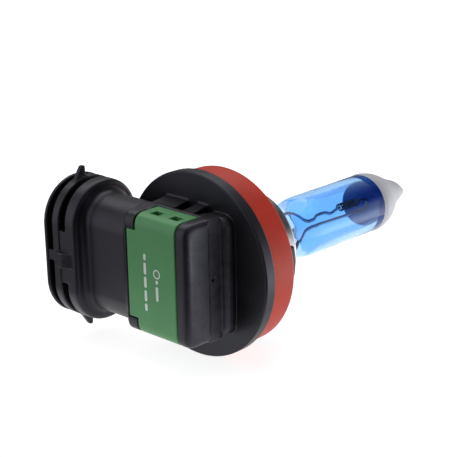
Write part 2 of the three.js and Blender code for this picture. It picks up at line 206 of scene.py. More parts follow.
def rect(a, b, a_range, b_range, radii):
    """Rectangle with a radius for each corner.

    The corners' order is (low, low), (high, low), (high, high), (low, high).
    """
    pa = a - (a_range[0] + a_range[1]) / 2
    pb = b - (b_range[0] + b_range[1]) / 2
    low_side = np.where(pb < 0, radii[0], radii[3])
    high_side = np.where(pb < 0, radii[1], radii[2])
    radius = np.where(pa < 0, low_side, high_side)
    qa = np.abs(pa) - (a_range[1] - a_range[0]) / 2 + radius
    qb = np.abs(pb) - (b_range[1] - b_range[0]) / 2 + radius
    outside = np.hypot(np.maximum(qa, 0), np.maximum(qb, 0))
    return np.minimum(np.maximum(qa, qb), 0) + outside - radius


def slab(value, low, high):
    """Space between two parallel planes."""
    return np.abs(value - (low + high) / 2) - (high - low) / 2


def solid_box(x, y, z, xs, ys, zs, radius=0.2):
    """Box with all its edges rounded."""
    q = [slab(v, *r) + radius for v, r in ((x, xs), (y, ys), (z, zs))]
    outside = np.sqrt(sum(np.maximum(v, 0) ** 2 for v in q))
    return outside + np.minimum(np.maximum(np.maximum(q[0], q[1]), q[2]), 0) - radius


def oval(x, z, half_x, half_z):
    """The connector's section: nearly two half circles joined by straight sides."""
    r = half_x * OVAL_CORNER
    return rect(x, z, (OVAL_X - half_x, OVAL_X + half_x), (-half_z, half_z), (r, r, r, r))


def ramp01(value, start, end):
    """Smooth step from 0 at the start to 1 at the end."""
    t = np.clip((value - start) / (end - start), 0, 1)
    return t * t * (3 - 2 * t)


def block_shape(x, y, z):
    """Block and cover together: rear edges well rounded, and a shallow wavy step in the -Y face."""
    # The step's line wavers a little, as in the real moulding.
    wobble = 0.05 * np.sin(2.3 * z + 0.7) + 0.03 * np.sin(5.9 * z)
    front = ramp01(x + wobble, STEP_X - 0.15, STEP_X + 0.15)
    step = STEP_DEPTH * front * (y < 0)
    shape = soft_common(REAR - x, np.abs(z) - HALF_Z, EDGE_ROUND)
    end_round = END_ROUND[0] * (1 - front) + END_ROUND[1] * front
    shape = soft_common(shape, BLOCK_Y[0] + step - y, end_round)
    shape = soft_common(shape, y - BLOCK_Y[1], 0.6)
    return soft_common(shape, x - BLOCK_FRONT, 0.3)


def cover_space(x, y, z, grow):
    """Where the cover sits: a U round the block's rear, and a tab towards the connector."""
    shell = np.maximum(x - COVER_FRONT - grow, slab(y, COVER_Y[0] - grow, COVER_Y[1] + grow))
    hollow = np.maximum(
        REAR + COVER_PLATE + grow - x, np.abs(z) - (HALF_Z - COVER_FLANGE - grow))
    shell = carve(shell, hollow, 0.15)
    tab = np.maximum(
        np.maximum(x - (REAR + COVER_PLATE + grow), slab(y, -1, COVER_TAB[0] + grow)),
        np.abs(z) - COVER_TAB[1] - grow)
    return np.minimum(shell, tab)


def window_space(x, y, z, grow):
    """The snap windows: two through each side of the cover."""
    holes = [
        np.maximum(
            slab(x, WINDOW_X - WINDOW_HALF[0] - grow, WINDOW_X + WINDOW_HALF[0] + grow),
            slab(y, w - WINDOW_HALF[1] - grow, w + WINDOW_HALF[1] + grow))
        for w in WINDOW_Y
    ]
    return np.maximum(np.minimum(*holes), WINDOW_FLOOR - np.abs(z))


def cover_shape(x, y, z):
    shape = soft_common(block_shape(x, y, z), cover_space(x, y, z, 0), 0.3)
    return carve(shape, window_space(x, y, z, 0), 0.25)


def flange_shape(x, y, z):
    """Disc with a dished rear face, the seal's seat, the nose and its three lugs."""
    rho = np.hypot(y, z)
    dish = DISC_DISH * np.clip((rho - DISC_FLAT) / (DISC_R - DISC_FLAT), 0, 1)
    disc = soft_common(DISC_X[0] - dish - x, rho - DISC_R, 0.3)
    disc = soft_common(disc, x - DISC_X[1], 0.2)
    seat = rect(x, rho, (SEAT_REAR, SEAT_X), (-SEAT_R, SEAT_R), (0, 0.4, 0.4, 0))
    nose = rect(x, rho, (SEAT_REAR, NOSE_X), (-NOSE_R, NOSE_R), (0, 0.2, 0.2, 0))
    whole = soft_union(soft_union(disc, seat, 0.3), nose, 0.4)
    for degrees in LUG_ANGLES:
        turn = math.radians(degrees)
        along = y * math.cos(turn) + z * math.sin(turn)
        across = np.abs(-y * math.sin(turn) + z * math.cos(turn))
        wedge = across * math.cos(LUG_HALF_ANGLE) - along * math.sin(LUG_HALF_ANGLE)
        lug = soft_common(slab(rho, *LUG_R), slab(x, *LUG_X), 0.5)
        whole = soft_union(whole, soft_common(lug, wedge, 0.5), 0.2)
    return whole


def neck_shape(x, y, z, disc):
    """Ribs and end plate that join the block to the flange disc."""
    shape = soft_union(solid_box(x, y, z, *CORE, 0.3), disc, 0.4)
    along = np.clip((x - GROOVE_REAR) / (DISC_X[0] - GROOVE_REAR), 0, 1)
    height = np.abs(z) - RIB_RISE * along
    for rib_y in RIBS:
        rib = solid_box(x, y, height, RIB_X, rib_y, (-RIB_Z, RIB_Z), 0.25)
        shape = soft_union(shape, rib, 0.3)
    draft = PLATE_DRAFT * (DISC_X[0] - x)
    plate = rect(y - draft, z, PLATE_Y, (-PLATE_Z, PLATE_Z), PLATE_CORNERS)
    plate = soft_common(plate, slab(x, *PLATE_X), 0.8)
    return soft_union(shape, plate, 0.15)


def connector_shape(x, y, z):
    """Oval tube with three rings, two bridges, the plug's latch and a fin at each end."""
    tube = np.maximum(oval(x, z, *TUBE[:2]), slab(y, TUBE[2], TUBE_END))
    y0, y1, half_x, half_z = RINGS[0]
    first = soft_common(soft_common(oval(x, z, half_x, half_z), y0 - y, 1.0), y - y1, 0.3)
    # The tube runs into the first ring with a wide fillet on the block's side.
    shape = soft_union(tube, first, np.where(y < 17.5, 1.5, 0.3))
    collar = np.maximum(oval(x, z, *COLLAR[:2]), slab(y, COLLAR[2], TUBE_END))
    shape = np.minimum(shape, collar)
    for y0, y1, half_x, half_z in RINGS[1:]:
        ring = soft_common(oval(x, z, half_x, half_z), slab(y, y0, y1), 0.3)
        shape = soft_union(shape, ring, 0.25)
    for out, bridge_y, bridge_z in BRIDGES:
        bridge = solid_box(x, y, z, (RING_SIDE - out, BRIDGE_FRONT), bridge_y, bridge_z, 0.1)
        shape = soft_union(shape, bridge, 0.12)
    latch = np.maximum(slab(z, *LATCH_Z), slab(y, *LATCH_Y))
    slope = (RING_SIDE - x) * LATCH_RUN - (y - LATCH_Y[0]) * LATCH_OUT
    slope = slope / math.hypot(LATCH_RUN, LATCH_OUT)
    latch = soft_common(latch, np.maximum(RING_SIDE - LATCH_OUT - x, slope), 0.25)
    latch = np.maximum(latch, x - (RING_SIDE + 1))
    shape = soft_union(shape, latch, 0.15)
    height = np.abs(z)
    rise = (height - FIN_FOOT) / FIN_HEIGHT
    fin = slab(x, FIN_X[0] + rise * FIN_SLANT[0], FIN_X[1] - rise * FIN_SLANT[1])
    fin = np.maximum(soft_common(fin, slab(y, *FIN_Y), 0.15), slab(height, *FIN_Z))
    return soft_union(shape, fin, 0.5)


def housing_shape(x, y, z):
    """The whole black housing: flange, neck, block and connector, with their openings."""
    flange = flange_shape(x, y, z)
    shape = neck_shape(x, y, z, flange)
    block = carve(block_shape(x, y, z), cover_space(x, y, z, GAP), 0.3)
    for low, high in GROOVES:
        groove = np.maximum(np.maximum(slab(y, low, high), GROOVE_Z - np.abs(z)), GROOVE_REAR - x)
        block = carve(block, groove, 0.25)
    teeth = np.maximum(window_space(x, y, z, -0.2), slab(np.abs(z), *TEETH_Z))
    gate_x, gate_z, gate_r, gate_floor = GATE
    gate = np.maximum(np.hypot(x - gate_x, z - gate_z) - gate_r, y - gate_floor)
    block = np.minimum(carve(block, gate, 0.15), np.maximum(teeth, x - TEETH_FRONT))
    shape = soft_union(shape, block, 0.3)
    connector = carve(connector_shape(x, y, z), cover_space(x, y, z, GAP), 0.15)
    shape = soft_union(shape, connector, 0.35)
    (low, high), half, front = CHAMBER
    chamber = np.maximum(np.maximum(slab(y, low, high), np.abs(z) - half), x - front)
    shape = carve(shape, chamber, 0.2)
    lead_in = LEAD_IN[0] * ramp01(y, MOUTH - LEAD_IN[1], MOUTH)
    recess = np.maximum(oval(x, z, *SOCKET[:2]) - lead_in, SOCKET[2] - y)
    shape = carve(shape, recess, 0.25)
    slots = np.maximum(slab(x, *SLOT_X), np.abs(np.abs(z) - SLOT_Z[0]) - SLOT_Z[1])
    shape = carve(shape, np.maximum(slots, slab(y, *SLOT_Y)), 0.1)
    rho = np.hypot(y, z)
    for radius, bottom in (BORE, COUNTERBORE):
        shape = carve(shape, np.maximum(rho - radius, bottom - x), 0.2)
    return shape


# ---- meshes from signed distances -------------------------------------------
def gradient(field, points):
    """Slope of the field at each point, by central differences."""
    h = 0.02
    parts = []
    for axis in range(3):
        low, high = points.copy(), points.copy()
        low[:, axis] -= h
        high[:, axis] += h
        parts.append((field(*high.T) - field(*low.T)) / (2 * h))
    return np.stack(parts, 1)


def settle(field, points, most, rounds=3):
    """Moves points onto the field's surface."""
    for _ in range(rounds):
        value = field(*points.T)
        slope = gradient(field, points)
        size = np.maximum((slope ** 2).sum(1), 0.05)
        step = np.clip(value / size, -most, most)
        points = points - slope * step[:, None]
    return points


def sample(field, axes, pitch):
    """Field values on the grid: exact near the surface, and only the right sign elsewhere."""
    block = 4
    centres = []
    for axis in axes:
        blocks = np.arange(math.ceil(len(axis) / block))
        centres.append(axis[0] + pitch * (block * (blocks + 0.5) - 0.5))
    grid = np.meshgrid(*centres, indexing="ij")
    coarse = field(*(g.ravel() for g in grid)).reshape(grid[0].shape)
    # Half a block's diagonal, and a margin because a fillet's field is not an exact distance.
    near = np.abs(coarse) < pitch * block * 0.87 + 0.75
    for axis in range(3):
        coarse = np.repeat(coarse, block, axis)
        near = np.repeat(near, block, axis)
    cut = tuple(slice(0, len(a)) for a in axes)
    values, near = coarse[cut].copy(), near[cut]
    i, j, k = np.nonzero(near)
    values[near] = field(axes[0][i], axes[1][j], axes[2][k])
    return values


CELL_CORNERS = [(i, j, k) for i in (0, 1) for j in (0, 1) for k in (0, 1)]
CELL_EDGES = [
    (a, b) for a in CELL_CORNERS for b in CELL_CORNERS
    if a < b and sum(abs(p - q) for p, q in zip(a, b)) == 1
]


def surface_net(field, low, high, pitch):
    """Closed quad mesh of the surface where field is zero."""
    axes = [np.arange(lo - 2 * pitch, hi + 2.5 * pitch, pitch) for lo, hi in zip(low, high)]
    values = sample(field, axes, pitch)
    inside = values < 0
    n = [len(a) for a in axes]
    total = np.zeros([m - 1 for m in n], np.int8)
    for i, j, k in CELL_CORNERS:
        total += inside[i:n[0] - 1 + i, j:n[1] - 1 + j, k:n[2] - 1 + k]
    active = (total > 0) & (total < 8)
    cells = np.argwhere(active)
    index = np.full(active.shape, -1, np.int64)
    index[active] = np.arange(len(cells))
    place = np.zeros((len(cells), 3))
    crossings = np.zeros(len(cells))
    for a, b in CELL_EDGES:
        va = values[tuple((cells + a).T)]
        vb = values[tuple((cells + b).T)]
        hit = (va < 0) != (vb < 0)
        t = va[hit] / (va[hit] - vb[hit])
        place[hit] += np.array(a) + t[:, None] * (np.array(b) - np.array(a))
        crossings[hit] += 1
    points = np.array([a[0] for a in axes]) + (cells + place / crossings[:, None]) * pitch
    quads = []
    for axis in range(3):
        u, v = (axis + 1) % 3, (axis + 2) % 3
        start = [slice(None)] * 3
        end = [slice(None)] * 3
        start[axis], end[axis] = slice(0, -1), slice(1, None)
        first, second = inside[tuple(start)], inside[tuple(end)]
        nodes = np.argwhere(first != second)
        outward = first[tuple(nodes.T)]
        eu, ev = np.eye(3, dtype=int)[u], np.eye(3, dtype=int)[v]
        corners = (eu + ev, ev, np.zeros(3, int), eu)
        quad = np.stack([index[tuple((nodes - c).T)] for c in corners], 1)
        quad[~outward] = quad[~outward][:, ::-1]
        quads.append(quad)
    return points, np.concatenate(quads)


def evened(points, quads, share):
    """Points moved part of the way to their neighbours' middle, so that the quads are even."""
    total = np.zeros_like(points)
    count = np.zeros(len(points))
    for a in range(4):
        for b in ((a + 1) % 4, (a + 3) % 4):
            np.add.at(total, quads[:, a], points[quads[:, b]])
            np.add.at(count, quads[:, a], 1)
    return points + share * (total / count[:, None] - points)


def moulded(name, field, low, high, pitch, faces):
    """Object whose surface is the field's zero, thinned to about the given number of triangles."""
    points, quads = surface_net(field, low, high, pitch)
    points = settle(field, points, pitch * 0.5)
    points = settle(field, evened(points, quads, 0.5), pitch * 0.5, 2)
    mesh = bpy.data.meshes.new(name)
    mesh.from_pydata((points * MM).tolist(), [], quads.tolist())
    piece = bpy.data.objects.new(name, mesh)
    bpy.context.scene.collection.objects.link(piece)
    thin = piece.modifiers.new("thin", "DECIMATE")
    thin.ratio = min(1.0, faces / (2 * len(quads)))
    bpy.context.view_layer.update()
    graph = bpy.context.evaluated_depsgraph_get()
    thinned = bpy.data.meshes.new_from_object(piece.evaluated_get(graph))
    piece.modifiers.clear()
    piece.data = thinned
    bpy.data.meshes.remove(mesh)
    thinned.name = name
    flat = np.zeros(3 * len(thinned.vertices))
    thinned.vertices.foreach_get("co", flat)
    points = settle(field, flat.reshape(-1, 3) / MM, pitch * 0.25, 2)
    thinned.vertices.foreach_set("co", (points * MM).ravel())
    thinned.update()
    normals = gradient(field, points)
    normals /= np.maximum(np.linalg.norm(normals, axis=1), 1e-6)[:, None]
    for polygon in thinned.polygons:
        polygon.use_smooth = True
    thinned.normals_split_custom_set_from_vertices(normals.tolist())
    return piece


# ---- other meshes -----------------------------------------------------------
def make_object(name, points, faces, sharp_degrees=35.0, weighted=True):
    """Smooth-shaded object with sharp edges above an angle."""
    mesh = bpy.data.meshes.new(name)
    mesh.from_pydata([[v * MM for v in p] for p in points], [], faces)
    mesh.update()
    for polygon in mesh.polygons:
        polygon.use_smooth = True
    mesh.set_sharp_from_angle(angle=math.radians(sharp_degrees))
    piece = bpy.data.objects.new(name, mesh)
    bpy.context.scene.collection.objects.link(piece)
    if weighted:
        even = piece.modifiers.new("even_shading", "WEIGHTED_NORMAL")
        even.keep_sharp = True
    return piece


def filleted(corners, steps=5):
    """Polyline through (x, r, fillet radius) corners, each corner replaced by an arc."""
    out = []
    n = len(corners)
    for i, (x, r, radius) in enumerate(corners):
        here = Vector((x, r))
        before = Vector(corners[i - 1][:2]) - here
        after = Vector(corners[(i + 1) % n][:2]) - here
        if radius <= 0 or before.length < 1e-6 or after.length < 1e-6:
            out.append((x, r))
            continue
        angle = before.angle(after)
        reach = radius / math.tan(angle / 2)
        start = here + before.normalized() * reach
        end = here + after.normalized() * reach
        bisector = (before.normalized() + after.normalized()).normalized()
        middle = here + bisector * (radius / math.sin(angle / 2))
        for k in range(steps + 1):
            t = k / steps
            direction = (start - middle).lerp(end - middle, t).normalized()
            out.append(tuple(middle + direction * radius))
    return out


def spun(name, profile, segments):
    """Closed profile of (x, r) turned round the X axis."""
    return lofted(name, [(x, r, r, 0.0, 2.0) for x, r in profile], segments, closed=True)


def skinned(rows, sides, closed=False):
    """Faces between rows of point numbers. A row of one point closes the skin like a fan."""
    faces = []
    pairs = list(zip(rows, rows[1:]))
    if closed:
        pairs.append((rows[-1], rows[0]))
    for a, b in pairs:
        for k in range(sides):
            m = (k + 1) % sides
            if len(a) == 1:
                faces.append([a[0], b[m], b[k]])
            elif len(b) == 1:
                faces.append([a[k], a[m], b[0]])
            else:
                faces.append([a[k], a[m], b[m], b[k]])
    return faces


def lofted(name, sections, segments, closed=False, inward=False, **shade):
    """Skin through sections of (x, half width in Y, half height in Z, centre's Z, exponent)."""
    points, rows = [], []
    for x, half_y, half_z, centre, power in sections:
        if max(half_y, half_z) < 1e-6:
            rows.append([len(points)])
            points.append((x, 0.0, centre))
            continue
        row = []
        for k in range(segments):
            angle = 2 * math.pi * k / segments
            c, s = math.cos(angle), math.sin(angle)
            y = half_y * math.copysign(abs(c) ** (2 / power), c)
            z = half_z * math.copysign(abs(s) ** (2 / power), s)
            row.append(len(points))
            points.append((x, y, centre + z))
        rows.append(row)
    faces = skinned(rows, segments, closed)
    if inward:
        faces = [f[::-1] for f in faces]
    return make_object(name, points, faces, **shade)


def joined(name, *pieces):
    """One object from several, keeping each one's material faces."""
    for piece in bpy.context.scene.objects:
        piece.select_set(False)
    for piece in pieces:
        piece.select_set(True)
    bpy.context.view_layer.objects.active = pieces[0]
    bpy.ops.object.join()
    pieces[0].name = name
    pieces[0].data.name = name
    return pieces[0]


def smooth_path(points, count):
    """Catmull-Rom curve through the points, sampled evenly by parameter."""
    p = [Vector(v) for v in points]
    p = [2 * p[0] - p[1]] + p + [2 * p[-1] - p[-2]]
    out = []
    spans = len(p) - 3
    for i in range(count):
        t = i / (count - 1) * spans
        s = min(int(t), spans - 1)
        u = t - s
        a, b, c, d = p[s:s + 4]
        square = (2 * a - 5 * b + 4 * c - d) * u * u
        cube = (3 * b - a - 3 * c + d) * u ** 3
        out.append(0.5 * (2 * b + (c - a) * u + square + cube))
    return out


def wire(name, path, radius, sides=12):
    """Round wire with domed ends along a path."""
    normal = None
    points, rows = [], []
    n = len(path)
    rings = [(0, -1.0, 0.0), (0, -0.7, 0.7)]
    rings += [(i, 0.0, 1.0) for i in range(n)]
    rings += [(n - 1, 0.7, 0.7), (n - 1, 1.0, 0.0)]
    tangents = [(path[min(i + 1, n - 1)] - path[max(i - 1, 0)]).normalized() for i in range(n)]
    frames = []
    for tangent in tangents:
        if normal is None:
            normal = tangent.orthogonal().normalized()
        normal = (normal - tangent * normal.dot(tangent)).normalized()
        frames.append((normal.copy(), tangent.cross(normal)))
    for i, ahead, share in rings:
        centre = path[i] + tangents[i] * radius * ahead
        if share == 0:
            rows.append([len(points)])
            points.append(tuple(centre))
            continue
        u, v = frames[i]
        row = []
        for k in range(sides):
            angle = 2 * math.pi * k / sides
            row.append(len(points))
            outward = u * math.cos(angle) + v * math.sin(angle)
            points.append(tuple(centre + outward * radius * share))
        rows.append(row)
    return make_object(name, points, skinned(rows, sides), 60.0, False)


# ---- materials --------------------------------------------------------------
class Look:
    """A Principled material with short calls for its nodes."""

    def __init__(self, name, **sockets):
        self.material = bpy.data.materials.new(name)
        self.material.use_nodes = True
        self.tree = self.material.node_tree
        self.shader = self.tree.nodes["Principled BSDF"]
        for key, value in sockets.items():
            self.shader.inputs[key.replace("_", " ")].default_value = value
        self.where = self.node("ShaderNodeTexCoord").outputs["Object"]

    def node(self, kind, **settings):
        made = self.tree.nodes.new(kind)
        for key, value in settings.items():
            setattr(made, key, value)
        return made

    def link(self, a, b):
        self.tree.links.new(a, b)

    def noise(self, per_mm, detail=3.0, roughness=0.5, stretch=(1, 1, 1), distortion=0.0):
        """Noise that follows the object, with its scale in features per millimetre."""
        mapping = self.node("ShaderNodeMapping")
        mapping.inputs["Scale"].default_value = [s * per_mm / MM for s in stretch]
        self.link(self.where, mapping.inputs["Vector"])
        texture = self.node("ShaderNodeTexNoise")
        texture.inputs["Scale"].default_value = 1.0
        texture.inputs["Detail"].default_value = detail
        texture.inputs["Roughness"].default_value = roughness
        texture.inputs["Distortion"].default_value = distortion
        self.link(mapping.outputs["Vector"], texture.inputs["Vector"])
        return texture.outputs["Fac"]

    def spread(self, value, low, high, out_low, out_high):
        """Value mapped from one range to another, and held at its ends."""
        made = self.node("ShaderNodeMapRange")
        ends = (("From Min", low), ("From Max", high), ("To Min", out_low), ("To Max", out_high))
        for key, number in ends:
            made.inputs[key].default_value = number
        self.link(value, made.inputs["Value"])
        return made.outputs["Result"]

    def mix(self, share, a, b):
        """Colour between a and b. Each is a plain colour or another node's output."""
        made = self.node("ShaderNodeMix", data_type="RGBA")
        inputs = [s for s in made.inputs if s.type == "RGBA"]
        for socket, value in zip(inputs, (a, b)):
            if isinstance(value, (tuple, list)):
                socket.default_value = (*value, 1.0)
            else:
                self.link(value, socket)
        self.link(share, made.inputs["Factor"])
        return [s for s in made.outputs if s.type == "RGBA"][0]

    def maths(self, operation, a, b):
        made = self.node("ShaderNodeMath", operation=operation)
        for socket, value in zip(made.inputs, (a, b)):
            if isinstance(value, (int, float)):
                socket.default_value = value
            else:
                self.link(value, socket)
        return made.outputs[0]

    def blend(self, a, b, share):
        """Weighted sum: the given share of a, and the rest of b."""
        return self.maths(
            "ADD", self.maths("MULTIPLY", a, share), self.maths("MULTIPLY", b, 1 - share))

    def set(self, socket, value):
        """Links a node's output to a socket of the shader."""
        self.link(value, self.shader.inputs[socket])

    def bump(self, height, strength, distance_mm):
        """Adds a bump to those that the material already has."""
        made = self.node("ShaderNodeBump")
        made.inputs["Strength"].default_value = strength
        made.inputs["Distance"].default_value = distance_mm * MM
        self.link(height, made.inputs["Height"])
        before = self.shader.inputs["Normal"]
        if before.is_linked:
            self.link(before.links[0].from_socket, made.inputs["Normal"])
        self.set("Normal", made.outputs["Normal"])


# Painted reflection on the housing's end face: where it starts in Y and in X, and the paler bluish
# colour that is painted there.
SHEEN_Y = (-7.2, -7.7)
SHEEN_X = (-10.7, -11.0)
SHEEN_COLOUR = (0.034, 0.034, 0.042)


def moulded_plastic(
        name, dark, light, rough, grain=0.35, gloss=0.42, tint=(0.82, 0.82, 1.0), painted_sheen=False):
    """Grained plastic. With the sheen on, paler bluish patches are painted on the end face on the
    side away from the connector, as a painted reflection.
    """
    look = Look(name, IOR=1.5, Specular_IOR_Level=gloss)
    look.shader.inputs["Specular Tint"].default_value = (*tint, 1.0)
    cloud = look.noise(0.16, 4.0, 0.6)
    fine = look.noise(3.0, 3.0, 0.6)
    tone = look.blend(cloud, fine, 0.7)
    colour = look.mix(look.spread(tone, 0.35, 0.65, 0, 1), dark, light)
    # Painted reflection: paler patches mixed into the colour on the end face.
    if painted_sheen:
        place = look.node("ShaderNodeSeparateXYZ")
        look.link(look.where, place.inputs[0])
        side = look.spread(place.outputs["Y"], SHEEN_Y[0] * MM, SHEEN_Y[1] * MM, 0, 1)
        behind = look.spread(place.outputs["X"], SHEEN_X[0] * MM, SHEEN_X[1] * MM, 0, 1)
        patches = look.spread(look.noise(0.5, 5.0, 0.7), 0.3, 0.62, 0.25, 1.0)
        share = look.maths("MULTIPLY", look.maths("MULTIPLY", side, behind), patches)
        colour = look.mix(share, colour, SHEEN_COLOUR)
    look.set("Base Color", colour)
    look.set("Roughness", look.spread(tone, 0.3, 0.7, rough[0], rough[1]))
    look.bump(look.noise(7.0, 2.0, 0.6), grain, 0.012)
    look.bump(look.noise(0.35, 2.0), 0.15, 0.05)
    return look.material


def metal(name, dark, light, rough, stretch):
    """Metal with drawn or rolled streaks."""
    look = Look(name, Metallic=1.0)
    streak = look.noise(2.0, 4.0, 0.6, stretch)
    cloud = look.noise(0.3, 3.0)
    tone = look.blend(streak, cloud, 0.5)
    look.set("Base Color", look.mix(look.spread(tone, 0.35, 0.65, 0, 1), dark, light))
    look.set("Roughness", look.spread(tone, 0.3, 0.7, rough[0], rough[1]))
    look.bump(streak, 0.25, 0.01)
    return look.material


# The housing's plastic carries the painted reflection on its end face.
BLACK = moulded_plastic(
    "housing_plastic", (0.0028, 0.0028, 0.0036), (0.0060, 0.0060, 0.0078), (0.34, 0.46),
    painted_sheen=True)
GREEN = moulded_plastic(
    "cover_plastic", (0.058, 0.226, 0.078), (0.073, 0.262, 0.095), (0.36, 0.46),
    grain=0.25, gloss=0.4, tint=(1.0, 1.0, 1.0))
RED = moulded_plastic(
    "silicone", (0.44, 0.027, 0.014), (0.54, 0.040, 0.021), (0.42, 0.55),
    grain=0.2, gloss=0.35, tint=(1.0, 0.72, 0.62))
STEEL = metal("holder_steel", (0.30, 0.30, 0.315), (0.43, 0.43, 0.45), (0.2, 0.32), (6, 0.6, 0.6))
TIN = metal("tinned_brass", (0.55, 0.55, 0.53), (0.70, 0.70, 0.67), (0.22, 0.38), (4, 0.4, 4))
LEAD = metal("lead_wire", (0.38, 0.38, 0.40), (0.55, 0.55, 0.57), (0.25, 0.4), (0.5, 4, 4))
MOLYBDENUM = metal("molybdenum", (0.20, 0.21, 0.24), (0.36, 0.37, 0.41), (0.3, 0.45), (0.5, 4, 4))
TUNGSTEN = metal("tungsten", (0.03, 0.03, 0.04), (0.07, 0.07, 0.085), (0.45, 0.6), (4, 1, 1))
PRINT = moulded_plastic("print_ink", (0.55, 0.60, 0.56), (0.70, 0.74, 0.70), (0.5, 0.6), 0.1)


def blue_glass():
    """Clear glass with a thin blue filter coat of slightly uneven strength."""
    look = Look("blue_glass", IOR=1.34, Roughness=0.0)
    look.shader.inputs["Transmission Weight"].default_value = 1.0
    film = look.noise(0.12, 2.0, 0.5, (0.4, 1, 1), 0.4)
    strength = look.spread(film, 0.35, 0.65, 0, 1)
    look.set("Base Color", look.mix(strength, (0.33, 0.61, 1.0), (0.38, 0.66, 1.0)))
    look.bump(look.noise(0.18, 1.0, 0.3, (0.6, 1, 1)), 0.08, 0.05)
    return look.material


def tip_paint(name, dark, light, rough, gloss):
    """Dull speckled paint."""
    look = Look(name, Specular_IOR_Level=gloss)
    cloud = look.noise(0.22, 4.0, 0.6)
    speck = look.noise(5.0, 3.0, 0.7)
    tone = look.blend(cloud, speck, 0.75)
    look.set("Base Color", look.mix(look.spread(tone, 0.35, 0.65, 0, 1), dark, light))
    look.set("Roughness", look.spread(speck, 0.3, 0.7, *rough))
    look.bump(speck, 0.3, 0.015)
    return look.material


GLASS = blue_glass()
PAINT = tip_paint("grey_paint", (0.43, 0.435, 0.47), (0.53, 0.535, 0.57), (0.4, 0.55), 0.5)
PAINT_INSIDE = tip_paint(
    "grey_paint_inside", (0.001, 0.50, 0.95), (0.004, 0.62, 1.0), (0.7, 0.85), 0.1)


def dress(piece, material):
    """Gives a piece one material."""
    piece.data.materials.clear()
    piece.data.materials.append(material)


def finish(piece, material, slot, *stands_for):
    """Material and body of a piece, and the CAD nodes it is shown in place of. The slot argument is
    not used.
    """
    dress(piece, material)
    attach(piece, "root")
    if stands_for:
        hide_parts(*stands_for)
    return piece


# ---- plastic pieces ---------------------------------------------------------
housing = moulded("housing_body", housing_shape, BODY_LOW, BODY_HIGH, 0.25, 90000)
finish(housing, BLACK, "housing_plastic", "base_housing")

cover = moulded("cover_shell", cover_shape, COVER_LOW, COVER_HIGH, 0.17, 26000)
finish(cover, GREEN, "cover_plastic", "terminal_cover")

rear, front, radius = SEAL_LOW[0], SEAL_HIGH[0], SEAL_HIGH[2]
seal = spun("seal_band", filleted([
    (rear, 12.5, 0.15), (rear, radius - 0.05, 0.45), ((rear + front) / 2, radius, 0),
    (front, radius - 0.05, 0.6), (front, 14.2, 0.3), (front - 0.25, 13.9, 0.2),
    (front - 0.25, 12.5, 0.1),
]), 160)
finish(seal, RED, "silicone", "seal_ring")

# ---- metal holder -----------------------------------------------------------
rear, front, outer = HOLDER_LOW[0], HOLDER_HIGH[0], HOLDER_HIGH[2]
holder = spun("holder_cap", filleted([
    (rear, outer - 0.5, 0.1), (rear, outer, 0.15), (front, outer, 0.7), (front, 6.9, 0.3),
    (front - 0.35, 6.5, 0.2), (front - 0.35, 6.0, 0.15), (front - 0.8, 6.0, 0.15),
    (front - 0.8, 6.5, 0.1), (front - 0.5, 6.9, 0.1), (front - 0.5, outer - 0.5, 0.4),
]), 160)
finish(holder, STEEL, "holder_steel", "holder_ring")

# ---- CAD nodes shown as they are, with a material ---------------------------
for material, nodes in (
        (STEEL, ("holder_sleeve", "pinch_clamp")),
        (LEAD, ("outer_lead_upper", "outer_lead_lower")),
        (MOLYBDENUM, ("foil_upper", "foil_lower"))):
    for node in nodes:
        dress(frame["nodes"][node], material)

# ---- terminals --------------------------------------------------------------
for side in ("upper", "lower"):
    low, high = node_box("terminal_" + side)

    def blade_shape(x, y, z, low=low, high=high):
        """Flat contact blade that thins towards its tip."""
        middle = (low[2] + high[2]) / 2
        taper = 0.55 * ramp01(y, high[1] - 1.4, high[1])
        flat = rect(x, y, (low[0], high[0]), (low[1], high[1]), (0.2, 0.2, 0.5, 0.5))
        thick = np.abs(z - middle) - (high[2] - low[2]) / 2 * (1 - taper)
        return soft_common(flat, thick, 0.15)

    blade = moulded("blade_" + side, blade_shape, low, high, 0.15, 5000)
    finish(blade, TIN, "tinned_brass", "terminal_" + side)

# ---- burner -----------------------------------------------------------------
# Glass profiles are (x, radius). The outer one runs from the pinch to the tip.
GLASS_OUTSIDE = [
    (6.0, 3.0), (7.2, 3.7), (9.0, 4.05), (10.6, 4.25), (11.8, 4.5), (13.0, 4.87), (14.4, 5.25),
    (16.2, GLASS_R), (20.0, GLASS_R), (27.0, GLASS_R), (COAT_START, GLASS_R), (35.5, 5.35),
    (37.0, 5.0), (38.5, 4.35), (40.0, 3.5), (41.3, 2.8), (42.4, 2.35), (43.8, 1.8), (45.2, 1.12),
    (46.3, 0.5), (46.75, 0.2),
]
GLASS_INSIDE = [
    (13.2, 0), (13.3, 1.2), (14.0, 2.6), (15.4, 3.8), (17.2, 4.35), (25, 4.4), (33.6, 4.35),
    (36.4, 3.9), (38.6, 2.6), (39.8, 1.2), (40.2, 0),
]
PINCH_REAR = -4.6
PINCH_STATIONS = (-4.5, -2.5, -0.5, 1.5, 3.5, 5.0)
PINCH_HALF = (1.6, 4.65)
PINCH_TO_TUBE = (4.5, 11.0)
TUBE_START = 6.5
GLASS_SIDES = 96
PAINT_SINK = 0.03
COIL_TURNS = 10
COIL_STEPS = 16
COIL_R = 0.66
COIL_WIRE = 0.11
LEAD_WIRE = 0.28


def refined(profile, count):
    """Profile points sampled along a smooth curve."""
    path = smooth_path([(x, r, 0) for x, r in profile], count)
    return [(p.x, max(p.y, 0.0)) for p in path]


def beak(x):
    """Height of the centre line near the tip, where the seal-off leans."""
    return 0.3 * float(ramp01(x, 38.0, 43.0)) - 0.75 * float(ramp01(x, 43.0, TIP + 1))


def glass_section(x, r):
    """Round in front and pressed flat at the rear."""
    flat = 1 - float(ramp01(x, *PINCH_TO_TUBE))
    half_y = r * (1 - flat) + PINCH_HALF[0] * flat
    half_z = r * (1 - flat) + PINCH_HALF[1] * flat
    return (x, half_y, half_z, beak(x), 2 + 2.5 * flat)


